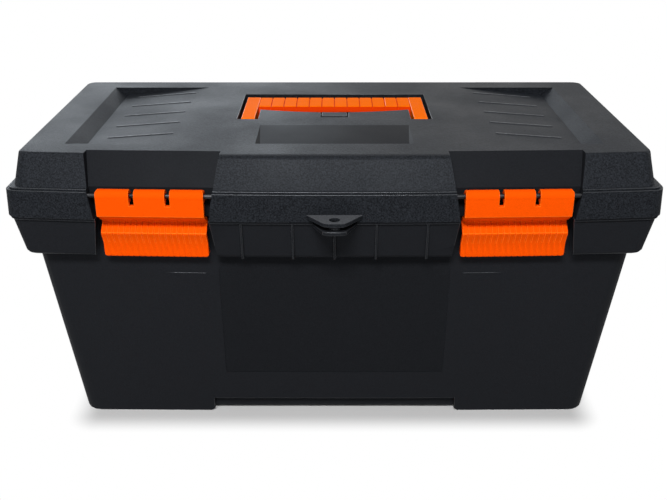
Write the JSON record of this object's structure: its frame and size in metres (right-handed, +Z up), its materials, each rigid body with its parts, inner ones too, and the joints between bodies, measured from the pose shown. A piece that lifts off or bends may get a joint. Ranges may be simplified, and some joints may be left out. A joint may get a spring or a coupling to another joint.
{
  "type": "hard tool case",
  "caption": "Moulded hard tool case with a bowed front, hinged lid, fold-down carrying handle, snap latches on steel rods, padlock eye and lift-out tray.",
  "frame": {"origin": "on the floor, in the middle of the overall width and depth", "axes": "+X to the right along the width, -Y towards the latches at the front, +Z up"},
  "size_m": [0.556, 0.3161, 0.265],
  "materials": {
    "case_black": "fine mould grain",
    "safety_orange": "smooth satin",
    "pin_black": "smooth",
    "rod_steel": "drawn rod",
    "tray_black": "fine mould grain"
  },
  "bodies": {
    "tub": {"tub": "case_black", "hinge_pin_left": "rod_steel", "hinge_pin_right": "rod_steel"},
    "lid": {"lid": "case_black", "latch_rod_left": "rod_steel", "latch_rod_right": "rod_steel", "handle_pin_left": "pin_black", "handle_pin_right": "pin_black"},
    "handle": {"handle": "safety_orange"},
    "latch_left": {"latch_left": "safety_orange"},
    "latch_right": {"latch_right": "safety_orange"},
    "tray": {"lift_out_tray": "tray_black"}
  },
  "joints": [
    {"name": "lid_hinge", "type": "hinge", "parent": "tub", "child": "lid", "pos_m": [0, 0.15255, 0.2135], "axis": [-1, 0, 0], "range_deg": [0, 100]},
    {"name": "handle_fold", "type": "hinge", "parent": "lid", "child": "handle", "pos_m": [0, -0.00095, 0.2585], "axis": [1, 0, 0], "range_deg": [0, 90]},
    {"name": "latch_left_swing", "type": "hinge", "parent": "lid", "child": "latch_left", "pos_m": [-0.15353, -0.1293, 0.2335], "axis": [-0.9995, 0.0314, 0], "range_deg": [0, 110]},
    {"name": "latch_right_swing", "type": "hinge", "parent": "lid", "child": "latch_right", "pos_m": [0.15353, -0.1293, 0.2335], "axis": [-0.9995, -0.0314, 0], "range_deg": [0, 110]},
    {"name": "tray_lift", "type": "slide", "parent": "tub", "child": "tray", "axis": [0, 0, 1], "range_m": [0, 0.018]}
  ]
}
